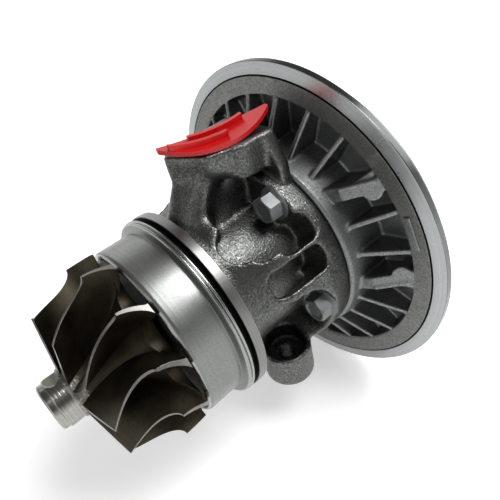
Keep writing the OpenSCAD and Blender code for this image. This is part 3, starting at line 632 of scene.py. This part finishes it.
def housing():
    """The cast body, cut flat behind the turned turbine flange, with machined faces at the oil inlet and
    at the drain; and the flange with its neck as one outline."""
    inlet_z, drain_z, cut_x, voxel, rounds = 74.0, -60.0, 4.4, 0.7, 22
    corner, slope = np.array([16.4, -5.2]), np.array([-0.889, 0.458])
    boss_z, blend_h, port_x, port_w, port_room = 56, 4, 39, 4, 9
    face_depth, face_cosine = 0.3, 0.93
    hollows = [((31, -10, 42), 17, 90), ((25, -11, 51), 16, 220)]

    def trim(points):
        """The inlet's boss is cut back to one flat from its corner, above the column that carries it. The
        port itself stays as it is."""
        x, w, z = points[:, 0], -points[:, 1], points[:, 2]
        over = np.maximum((x - corner[0]) * slope[0] + (w - corner[1]) * slope[1], 0)
        outside = np.hypot(x - port_x, w - port_w) > port_room
        over = over * np.clip((z - boss_z) / blend_h, 0, 1) * outside
        points[:, 0] -= over * slope[0]
        points[:, 1] += over * slope[1]
        return points

    mesh = cast_copy("housing_casting", "bearing_housing", voxel, rounds, trim, (cut_x, 1), hollows)
    centre, normal = face_centres(mesh)
    top = (centre[:, 2] > inlet_z - face_depth) & (normal[:, 2] > face_cosine)
    foot = (centre[:, 2] < drain_z + face_depth) & (normal[:, 2] < -face_cosine)
    mesh.polygons.foreach_set("material_index", (top | foot).astype(np.int32))
    shown("housing_casting", "housing", mesh, [CAST_IRON, TURNED_IRON], 60, ["bearing_housing"])

    def zone(x, r):
        """1 in the groove behind the shield's lip, where near-black painted shade goes, 0 elsewhere."""
        return np.where((x < 0.2) & (x > -3) & (r < 50.4), 1, 0)

    ring = eased([(5.4, 38), (4.8, 44), (4.8, 50.9), (0, 51), (0, 47.5), (-2.7, 47.5), (-2.7, 44.2),
                  (-6.2, 44.2), (-6.2, 30), (-18, 22), (-18, 13.4), (5.4, 13.4)], 0.35)
    # The groove behind the shield's lip takes near-black painted shade.
    flange = turned(ring, 300, zone)
    piece("housing_turbine_flange", "housing", flange, [TURNED_IRON, GROOVE_PAINTED_SHADE], 40)


def heat_shield():
    """Pressed sheet cup as one thin closed outline: a lip of two beads, a straight wall, a round front
    edge with a narrow crest, and a front that is dished inwards."""
    cup, t, front, groove = 46.0, 1.6, -25.8, -2.7
    round_r, crest_r, hole_r = 2.8, 0.8, 16.0
    dish = front + 1.8
    turn = np.radians(np.linspace(0, 90, 13))
    edge = np.stack([front + round_r - round_r * np.sin(turn), cup - round_r + round_r * np.cos(turn)], -1)
    turn = np.radians(np.linspace(90, 165, 8))
    crest_x = front + crest_r - crest_r * np.sin(turn)
    crest = np.stack([crest_x, cup - round_r - 0.1 + crest_r * np.cos(turn)], -1)
    outside = eased([(groove, cup - t), (groove, 50.5), (groove - 0.4, 50.8), (groove - 1.1, 50.8),
                     (groove - 1.5, 49.8), (groove - 1.9, 50.4), (groove - 2.6, 50.4), (groove - 3.1, 49.4),
                     (groove - 3.6, 47.2), (groove - 4.0, cup), (front + 4.6, cup)], 0.3)[3:-3]
    inside = [(front + 1.5, cup - 4.6), (dish, cup - 7), (dish, hole_r), (dish + t, hole_r),
              (dish + t, cup - 7.5), (front + 4.6, cup - t - 1.2), (front + 7, cup - t)]

    def zone(x, r):
        """1 on the front edge and the lip, which take the glossier sheet whose lighter colour is painted
        highlight, 0 elsewhere.
        """
        return np.where((x < front + 1.1) | ((x > groove - 3) & (r > cup)), 1, 0)

    shape = turned(np.concatenate([outside, edge, crest, inside]), 300, zone)
    piece("heat_shield_cup", "housing", shape, [SHIELD_SHEET, SHIELD_BEAD_PAINTED_HIGHLIGHT], 40,
          ["heat_shield"])


def back_plate():
    """Turned rim, ring and compressor side as one outline, a cast pad on the ring, and the ribbed cast
    side within them."""
    voxel, rounds, cut_x = 0.6, 4, 85.6
    blank = eased([(61.5, 33), (61.5, 53), (85.2, 56.5), (85.2, 80.2), (76.6, 80.2), (76.0, 79.3),
                   (76.0, 87.9), (76.9, 88.0), (76.9, 88.6), (76.2, 88.7), (77.0, 94.7), (77.3, 95),
                   (80.4, 95), (80.8, 94.6), (80.8, 89), (82.3, 89), (82.3, 86), (85.7, 86), (85.7, 89),
                   (88, 89), (88, 50.5), (84.2, 50.5), (84.2, 24), (70, 24), (70, 32), (61.5, 32)], 0.25)

    def zone(x, r):
        """3 on the rim's edge, with a darker copy as painted shade, 2 on its land, with a lighter copy as
        painted highlight, 4 in the groove, with near-black painted shade, 1 on the ring, 0 elsewhere.
        """
        edge, land, face = (r > 94.8), (x < 77.3) & (r > 88.65), (x < 76.3) & (r > 79.0)
        groove = (x < 77.3) & (r > 87.9) & (r < 88.7)
        return np.select([edge, land, groove, face], [3, 2, 4, 1], 0)

    # The rim's land and edge take lighter and darker copies of the turned finish, painted highlight and
    # painted shade, and the groove takes near-black painted shade.
    finishes = [TURNED_ALUMINIUM, RING_FACE, RIM_LAND_PAINTED_LIGHT, RIM_EDGE_PAINTED_SHADE, GROOVE_PAINTED_SHADE]
    piece("back_plate_turned", "housing", turned(blank, 360, zone), finishes, 40)
    ring_pad()

    def trim(points):
        """The cast side ends under the ring, and stays inside the turned bore and the compressor side."""
        r = np.hypot(points[:, 1], points[:, 2])
        bore = (r > 50) & (r < 51)
        points[:, 1:] *= (np.where(bore, 51.2, np.minimum(r, 82)) / np.maximum(r, 1e-6))[:, None]
        x = points[:, 0]
        x = np.where((r > 78.9) & (x > 75), np.maximum(x, 76.4), x)
        points[:, 0] = np.where((r < 52) & (x < 86), np.minimum(x, 83.4), x)
        return points

    mesh = cast_copy("back_plate_casting", "back_plate", voxel, rounds, trim, (cut_x, -1))
    shown("back_plate_casting", "housing", mesh, [CAST_ALUMINIUM], 60, ["back_plate"])


def ring_pad():
    """A low pad on the back plate's ring, narrower at its top."""
    at, ring_x, near_r, far_r, half_l = np.radians(70.5), 76.0, 80.3, 84.3, 8.5
    sunk, height, draft = 0.6, 0.8, 0.3
    u, v = np.linspace(-1, 1, 9)[:, None], np.linspace(0, 1, 5)[None, :]
    width = far_r - near_r
    low = np.broadcast_arrays(ring_x + sunk, half_l * u, near_r + width * v)
    top_r = near_r + draft + (width - 2 * draft) * v
    high = np.broadcast_arrays(ring_x - height, (half_l - draft) * u, top_r)
    points, quads, _ = slab(np.stack(high, -1), np.stack(low, -1))
    pad = piece("ring_pad", "housing", spun(plain(points, quads), at), [CAST_ALUMINIUM], 40)
    bevel(pad, 0.35, 3)


def hex_bolt(seat, flats, head_h, flange_r, flange_t, shank_r, reach):
    """One flange bolt along X about the axis. On each ray the outline is the dished top, a 30 degree
    chamfer that leaves the hexagon's corners low, the hexagon's side, the sloping flange, the seat and
    the shank."""
    angle = rays(96)[None, :]
    side = flats / 2 / np.cos((angle + np.pi / 6) % (np.pi / 3) - np.pi / 6)
    base, top = seat - flange_t, seat - flange_t - head_h
    cap = flats / 2 * 0.97
    one = np.ones_like(angle)
    dish = [(top + 0.5, 0), (top + 0.5, cap - 1.9), (top + 0.12, cap - 1.35), (top, cap - 1.1), (top, cap)]
    drop = top + (side - cap) * np.tan(np.radians(30))
    sides = [(drop - 0.02, side - 0.06), (drop + 0.15, side), (one * (base - 0.5), side),
             (one * (base - 0.15), side + 0.12), (one * base, side + 0.5)]
    rim = [(seat - 1.15, flange_r - 0.35), (seat - 0.9, flange_r), (seat - 0.15, flange_r),
           (seat, flange_r - 0.15), (seat, shank_r), (reach - 1, shank_r), (reach, shank_r - 1), (reach, 0)]
    rows = dish + sides + rim
    x = np.concatenate([one * row[0] for row in rows])
    r = np.concatenate([one * row[1] for row in rows])
    return plain(around(x, r, angle), lattice(len(x), angle.size, False, True))


def bolts():
    """Four flange bolts on their circle."""
    circle_r, places = 48.5, (30, 100, 260, 330)
    points, quads, kind = hex_bolt(seat=48.0, flats=12.0, head_h=7.0, flange_r=8.5, flange_t=1.6, shank_r=4.0,
                                   reach=74.0)
    bolt = (points + np.array([0, 0, circle_r]), quads, kind)
    placed = joined([spun(bolt, np.radians(place)) for place in places])
    piece("flange_bolts", "housing", placed, [ZINC], 30, ["back_plate_bolts"])


def thread(x, y, z0, z1, radius, pitch, depth):
    """A female thread: a triangular ridge that follows a helix on the wall of an upright hole and runs
    out to a point at both ends."""
    steps_each, sunk = 40, 0.35
    turns = abs(z1 - z0) / pitch
    a = np.linspace(0, FULL_TURN * turns, int(turns * steps_each))[:, None]
    run_out = np.clip(np.minimum(a, a[-1] - a) / (np.pi / 2), 0, 1)
    section = np.array([(-0.33, -0.45), (-1.35, 0.0), (-0.33, 0.45), (0, 0.0)])
    r = radius + depth * (sunk + section[None, :, 0] * run_out)
    z = z0 + (z1 - z0) * a / a[-1] + pitch * section[None, :, 1] * run_out
    points = np.stack([x + r * np.cos(a), y + r * np.sin(a), z], -1)
    return plain(points, lattice(len(a), len(section), False, True))


def drain_threads():
    """The threads of the two drain bolt holes."""
    hole_x, hole_y, low_z, high_z = 32.0, 29.0, -58.5, -45.8
    rows = [thread(hole_x, y, low_z, high_z, radius=4.0, pitch=1.25, depth=0.55) for y in (-hole_y, hole_y)]
    piece("drain_threads", "housing", joined(rows), [TURNED_IRON], 30)


def port_cap():
    """Bent leaf-shaped flange between two arcs, two bars that follow its bend, a thin skirt in the port
    and a collar on the port's face. Heights above the flange's lowest line are carried to the bend's
    circle."""
    base, turn, port = np.array([37.9, -5.4, 74.0]), np.radians(-14), np.array([39.0, -4.0])
    length, width, blunt, thick, bend_r, low = 56.8, 20.0, 1.5, 2.0, 74.0, -0.5
    bar_l, bar_t, bar_top, bar_starts = 27.0, 2.4, 4.5, ((-22.6, -4.0), (-11.4, 3.5))
    bar_steps, bar_lines, tube_top, tube_in = 33, 5, 2.3, 0.8
    arc_r = (length ** 2 + width ** 2) / (4 * width)
    c, s = np.cos(turn), np.sin(turn)

    def lift(x, height):
        """Height of the bend's circle at a place along the flange."""
        return bend_r - np.sqrt((bend_r - height) ** 2 - (x - low) ** 2)

    def sheet(x, y, z0, z1):
        """A bent sheet over a grid of places on the flange, between two heights."""
        points, quads, _ = slab(np.stack([x, y, lift(x, z1)], -1), np.stack([x, y, lift(x, z0)], -1))
        x, y, z = points.T
        return plain(np.stack([x * c - y * s, x * s + y * c, z], -1) + base, quads)

    def tube(name, outline, least):
        """A ring about the port's axis from an outline of (height, radius). Its top ends inside the bent
        flange, no lower than least."""
        ring = np.array(outline)
        angle = rays(96)[None, :]
        x, y = port[0] + ring[:, 1:] * np.cos(angle), port[1] + ring[:, 1:] * np.sin(angle)
        top = np.maximum(lift((x - base[0]) * c + (y - base[1]) * s, tube_in), least)
        height = np.where(ring[:, :1] == tube_top, top, np.minimum(ring[:, :1], top))
        points = np.stack([x, y, base[2] + height], -1)
        quads = lattice(len(ring), angle.size, True, True)
        piece(name, "plug", plain(points, quads), [RED_CAP], 40)

    u = np.linspace(-1, 1, 71)[:, None]
    v = np.linspace(-1, 1, 17)[None, :]
    x = (length / 2 - blunt) * np.sin(np.pi / 2 * u) * np.ones_like(v)
    half_w = np.sqrt(np.maximum(arc_r ** 2 - x ** 2, 0)) - (arc_r - width / 2)
    shapes = [sheet(x, v * half_w, 0.0, thick)]
    for start_x, start_y in bar_starts:
        bar_x = start_x + bar_l * np.linspace(0, 1, bar_steps)[:, None] * np.ones((1, bar_lines))
        bar_y = start_y + bar_t * np.linspace(0, 1, bar_lines)[None, :] * np.ones((bar_steps, 1))
        shapes.append(sheet(bar_x, bar_y, thick / 2, bar_top))
    bevel(piece("port_cap", "plug", joined(shapes), [RED_CAP], 40, ["port_plug"]), 0.5, 4)
    tube("port_cap_skirt", [(-12, 7.7), (-11.6, 7.92), (tube_top, 7.92), (tube_top, 6.3), (-12, 6.4)], 0)
    tube("port_cap_collar", [(0.15, 8.0), (0.15, 10.4), (1.0, 10.6), (tube_top, 10.6), (tube_top, 8.0)], 0.9)


NODE_FINISH = {
    "rotor_shaft": GROUND_STEEL, "turbine_seal_ring": GROUND_STEEL, "turbine_journal_bearing": BRONZE,
    "compressor_journal_bearing": BRONZE, "bearing_retaining_rings": GROUND_STEEL,
    "thrust_ring": GROUND_STEEL, "thrust_bearing": BRONZE, "thrust_pins": GROUND_STEEL,
    "thrust_collar": GROUND_STEEL, "oil_baffle": SHIELD_SHEET, "oil_slinger": GROUND_STEEL,
    "compressor_seal_ring": GROUND_STEEL, "seal_plate": TURNED_STEEL, "seal_plate_o_ring": RUBBER,
    "joint_o_ring": RUBBER, "cover_o_ring": RUBBER, "compressor_nut": ZINC,
}
for name, material in NODE_FINISH.items():
    nodes[name].data.materials.clear()
    nodes[name].data.materials.append(material)

turbine_wheel()
compressor_wheel()
housing()
heat_shield()
back_plate()
bolts()
drain_threads()
port_cap()

WHITE = (1, 1, 1, 1)
FLOOR_SIZE, FLOOR_GAP, FLOOR_SHADE, FLOOR_ROUGH = 9, 0.0005, 0.93, 0.9
FLOOR_NEAR, FLOOR_FAR, NEAR_GLOW, FAR_GLOW = 0.3, 1.8, 0.42, 0.9
BAND_TOP, SKY_FROM, BAND_LEVEL, SKY_LEVEL = 0.1, 0.4, 0.9, 0.14
AIM = (0.02, 0.0, 0.0)
PIXELS, FOCAL_PIXELS, SENSOR = 500, 455.016, 36.0
RIGHT, UP, BACK = (0.72106, -0.66455, -0.19605), (0.53107, 0.34836, 0.77240), (-0.44501, -0.66107, 0.60412)
SPOT = (-0.066200, -0.163865, 0.155099)


def background_rays(tree):
    """1 for the rays that show the background: straight to the camera, mirrored or through glass."""
    path = add(tree, "ShaderNodeLightPath").outputs
    mirrored = combined(tree, "MAXIMUM", path["Is Glossy Ray"], path["Is Transmission Ray"])
    return combined(tree, "MAXIMUM", path["Is Camera Ray"], mirrored)


def floor():
    """A wide pale plane under the lowest point of the object, lit evenly by itself far from the object."""
    low, far = cad_box[0][2] - FLOOR_GAP, FLOOR_SIZE
    mesh = bpy.data.meshes.new("floor")
    corners = [(-far, -far, low), (far, -far, low), (far, far, low), (-far, far, low)]
    mesh.from_pydata(corners, [], [(0, 1, 2, 3)])
    obj = bpy.data.objects.new("floor", mesh)
    bpy.context.scene.collection.objects.link(obj)
    material, tree, shader, place = blank_finish("pale_floor", (FLOOR_SHADE,) * 3, 0.0, FLOOR_ROUGH)
    shader.inputs["Specular IOR Level"].default_value = 0.0
    shader.inputs["Emission Color"].default_value = WHITE
    away = add(tree, "ShaderNodeVectorMath", operation="LENGTH", Vector=place).outputs["Value"]
    glow = ranged(tree, away, FLOOR_NEAR, FLOOR_FAR, NEAR_GLOW, FAR_GLOW)
    strength = combined(tree, "MULTIPLY", glow, background_rays(tree))
    tree.links.new(strength, shader.inputs["Emission Strength"])
    mesh.materials.append(material)


def softbox(name, direction, distance, size, power):
    """A square soft light that looks at the object from a direction."""
    light = bpy.data.lights.new(name, "AREA")
    light.shape, light.size, light.energy = "SQUARE", size, power
    obj = bpy.data.objects.new(name, light)
    bpy.context.scene.collection.objects.link(obj)
    away = Vector(direction).normalized()
    obj.location = Vector(AIM) + distance * away
    obj.rotation_mode = "QUATERNION"
    obj.rotation_quaternion = away.to_track_quat("Z", "Y")


def studio():
    """The world: a white band at the horizon under a dimmer sky."""
    world = bpy.data.worlds.new("studio")
    world.use_nodes = True
    bpy.context.scene.world = world
    tree = world.node_tree
    ray = add(tree, "ShaderNodeTexCoord").outputs["Generated"]
    height = add(tree, "ShaderNodeSeparateXYZ", Vector=ray).outputs["Z"]
    sky = ranged(tree, height, BAND_TOP, SKY_FROM, BAND_LEVEL, SKY_LEVEL)
    tree.links.new(sky, tree.nodes["Background"].inputs["Strength"])
    tree.nodes["Background"].inputs["Color"].default_value = WHITE


def photo_camera():
    """A pinhole camera at SPOT, turned by its RIGHT, UP and BACK directions."""
    view = bpy.data.cameras.new("photo_camera")
    view.sensor_width, view.lens = SENSOR, SENSOR * FOCAL_PIXELS / PIXELS
    view.clip_start, view.clip_end = 0.01, 40
    camera = bpy.data.objects.new("photo_camera", view)
    bpy.context.scene.collection.objects.link(camera)
    rows = [(*row, spot) for row, spot in zip(zip(RIGHT, UP, BACK), SPOT)]
    camera.matrix_world = Matrix(rows + [(0, 0, 0, 1)])
    bpy.context.scene.camera = camera


floor()
softbox("key_light", (0.32, -0.37, 0.87), distance=1.2, size=0.58, power=12.5)
softbox("right_light", (0.75, -0.37, 0.54), distance=1.3, size=0.6, power=3)
softbox("left_light", (-0.85, -0.2, 0.5), distance=1.4, size=0.9, power=3)
softbox("back_light", (0.2, 0.85, 0.5), distance=1.4, size=0.9, power=3)
studio()
photo_camera()
bpy.context.scene.view_settings.view_transform = "Standard"
